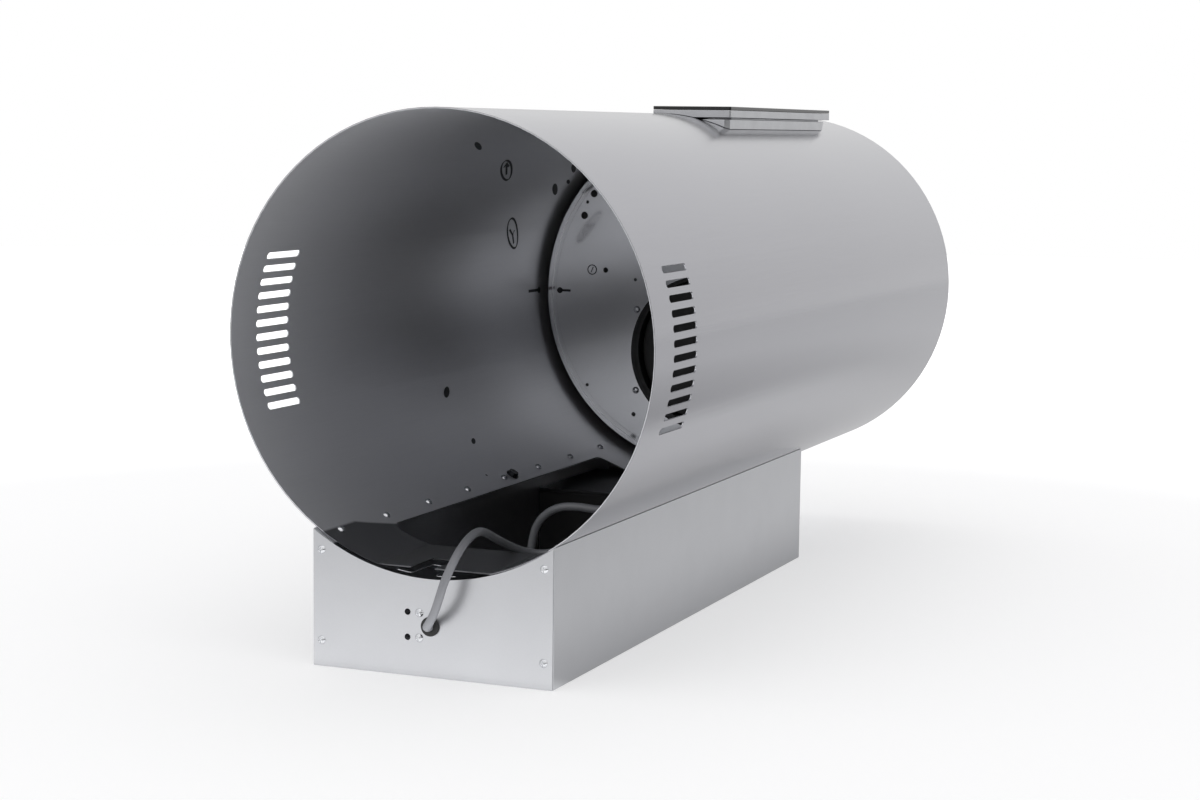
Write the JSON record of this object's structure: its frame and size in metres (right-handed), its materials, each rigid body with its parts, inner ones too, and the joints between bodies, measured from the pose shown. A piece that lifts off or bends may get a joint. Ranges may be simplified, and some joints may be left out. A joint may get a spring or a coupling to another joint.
{
  "type": "cylindrical range hood",
  "caption": "Wall-mounted cylindrical range hood lying on its rear box: steel tube open at the vent end, blower, non-return flaps, hinged grease filter, lamps, touch panel and mains cord.",
  "frame": {"origin": "middle of the rear box's wall face", "axes": "+Y along the cylinder from its open vent end to its intake end, +Z away from the wall, +X to the right seen from the vent end"},
  "size_m": [0.35, 0.889, 0.4316],
  "materials": {
    "cylinder_steel": "fine brushed",
    "box_steel": "satin galvanised",
    "plate_steel": "satin",
    "screw_steel": "plated",
    "shaft_steel": "ground",
    "black_rubber": "matt",
    "cord_jacket": "satin",
    "plug_plastic": "moulded",
    "black_plastic": "moulded",
    "flap_plastic": "moulded",
    "scroll_plastic": "moulded",
    "tie_plastic": "moulded",
    "white_plastic": "moulded",
    "board_green": "lacquered",
    "motor_steel": "zinc plated",
    "copper_winding": "enamelled",
    "magnet": "nickel plated",
    "filter_aluminium": "satin",
    "lamp_body": "anodised",
    "lamp_glass": "frosted",
    "panel_trim": "brushed",
    "panel_glass": "polished black glass"
  },
  "bodies": {
    "hood": {"outer_cylinder": "cylinder_steel", "rear_box": "box_steel", "front_end_plate": "box_steel", "rear_end_plate": "box_steel", "end_plate_screws": "screw_steel", "cylinder_screws": "screw_steel", "earth_screw": "screw_steel", "cable_grommet": "black_rubber", "cable_clamp": "black_plastic", "clamp_screws": "screw_steel", "mains_cord_lead": "cord_jacket", "mains_cord_coil": "cord_jacket", "mains_cord_tail": "cord_jacket", "cord_tie": "tie_plastic", "mains_plug": "plug_plastic", "supply_lead": "cord_jacket", "control_box": "black_plastic", "control_box_lid": "black_plastic", "power_board": "board_green", "terminal_block": "white_plastic", "motor_lead": "black_rubber", "lead_bush": "black_rubber", "outlet_plate": "plate_steel", "outlet_screws": "screw_steel", "blower_casing": "plate_steel", "casing_spacers": "black_rubber", "flap_ring": "flap_plastic", "flap_spindle": "shaft_steel", "scroll_left": "scroll_plastic", "scroll_right": "scroll_plastic", "motor_stator": "copper_winding", "motor_cup_outer": "motor_steel", "motor_cup_inner": "motor_steel", "motor_bearings": "shaft_steel", "motor_bracket": "motor_steel", "motor_bushes": "black_rubber", "motor_bolts": "screw_steel", "blower_screws": "screw_steel", "capacitor": "white_plastic", "capacitor_clip": "motor_steel", "intake_fascia": "plate_steel", "filter_magnets": "magnet", "lamp_bezels": "lamp_body", "lamp_lenses": "lamp_glass", "lamp_bodies": "lamp_body", "fascia_screws": "screw_steel", "panel_saddle": "panel_trim", "panel_frame": "panel_trim", "touch_glass": "panel_glass", "touch_board": "board_green", "panel_lead": "white_plastic"},
    "fan": {"impeller": "scroll_plastic", "motor_shaft": "shaft_steel", "motor_rotor": "motor_steel"},
    "left_flap": {"left_flap": "flap_plastic"},
    "right_flap": {"right_flap": "flap_plastic"},
    "filter": {"filter_frame": "filter_aluminium", "filter_mesh": "filter_aluminium", "filter_pins": "shaft_steel", "filter_pull": "filter_aluminium"}
  },
  "joints": [
    {"name": "fan_spin", "type": "hinge", "parent": "hood", "child": "fan", "pos_m": [0, 0.42, 0.265], "axis": [1, 0, 0], "continuous": true},
    {"name": "left_flap_swing", "type": "hinge", "parent": "hood", "child": "left_flap", "pos_m": [-0.002, 0.319, 0.194], "axis": [0, 0, 1], "range_deg": [0, 80]},
    {"name": "right_flap_swing", "type": "hinge", "parent": "hood", "child": "right_flap", "pos_m": [-0.002, 0.319, 0.194], "axis": [0, 0, -1], "range_deg": [0, 80]},
    {"name": "filter_drop", "type": "hinge", "parent": "hood", "child": "filter", "pos_m": [0, 0.548, 0.14401], "axis": [-1, 0, 0], "range_deg": [0, 85]}
  ]
}
